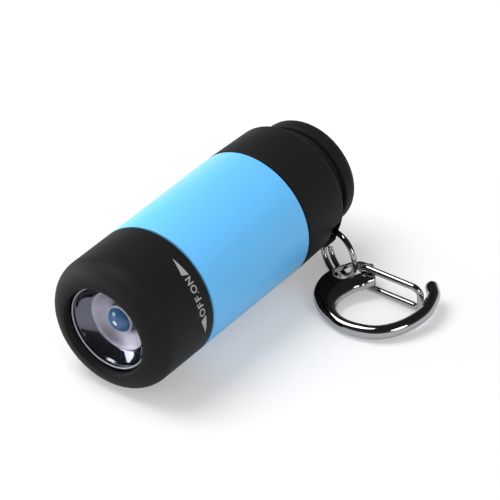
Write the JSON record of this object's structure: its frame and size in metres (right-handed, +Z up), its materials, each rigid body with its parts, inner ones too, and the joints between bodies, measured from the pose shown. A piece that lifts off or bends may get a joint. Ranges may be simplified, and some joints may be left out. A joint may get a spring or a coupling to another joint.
{
  "type": "keychain torch",
  "caption": "Small round keychain torch with a twist head and recessed lens, a pull-off tail cap over a USB plug, and a split ring that carries a snap hook with a sprung wire gate.",
  "frame": {"origin": "middle of the underside of the whole part as it lies on the floor", "axes": "+Y along the torch from lens to tail, +Z up, +X towards the hook"},
  "size_m": [0.0488, 0.0622, 0.0259],
  "materials": {
    "black_abs": "matte black ABS",
    "blue_abs": "satin light blue ABS",
    "clear_acrylic": "clear polished acrylic",
    "led_epoxy": "clear epoxy dome",
    "mirror_film": "aluminised plastic",
    "black_rubber": "matte rubber",
    "green_board": "lacquered board",
    "white_abs": "white ABS",
    "spring_steel": "bright wire",
    "brass": "plain brass",
    "nickel": "nickel plated steel",
    "cell_wrap": "shrink wrap",
    "chip_black": "moulded chip",
    "red_led": "tinted lens",
    "gold": "gold flash",
    "chrome": "polished plating"
  },
  "bodies": {
    "head": {"head_shell": "black_abs", "lens_window": "clear_acrylic", "lens_seal": "black_rubber", "reflector": "mirror_film", "led_lamp": "led_epoxy", "led_board": "green_board", "head_retainer": "white_abs", "contact_spring": "spring_steel"},
    "body": {"body_shell": "blue_abs", "inner_sleeve": "black_abs", "head_seal": "black_rubber", "tail_seal": "black_rubber", "cell_cradle": "white_abs", "front_terminal": "brass", "battery_cell": "cell_wrap", "rear_terminal": "nickel", "charge_board": "green_board", "charge_chip": "chip_black", "status_led": "red_led", "usb_shell": "nickel", "usb_tongue": "white_abs", "usb_contact_1": "gold", "usb_contact_2": "gold", "usb_contact_3": "gold", "usb_contact_4": "gold", "usb_collar": "black_abs"},
    "cap": {"tail_cap": "black_abs"},
    "ring": {"split_ring": "chrome"},
    "hook": {"hook_body": "chrome"},
    "gate": {"gate_wire": "chrome"}
  },
  "joints": [
    {"name": "head_twist", "type": "hinge", "parent": "body", "child": "head", "pos_m": [-0.01141, -0.03105, 0.01295], "axis": [0, 1, 0], "range_deg": [0, 90]},
    {"name": "cap_pull", "type": "slide", "parent": "body", "child": "cap", "axis": [0, 1, 0], "range_m": [0, 0.018]},
    {"name": "ring_swing", "type": "hinge", "parent": "cap", "child": "ring", "pos_m": [-0.00054, 0.02177, 0.00629], "axis": [0, -1, 0], "range_deg": [-10, 18]},
    {"name": "hook_swing", "type": "hinge", "parent": "ring", "child": "hook", "pos_m": [0.00579, 0.02005, 0.00306], "axis": [0.4226, -0.1422, 0.8951], "range_deg": [-30, 50]},
    {"name": "gate_swing", "type": "hinge", "parent": "hook", "child": "gate", "pos_m": [0.00817, 0.02048, 0.00312], "axis": [0, 0.1409, -0.99], "range_deg": [0, 45], "stiffness_Nm_per_rad": 0.03, "springref_deg": -11.46}
  ]
}
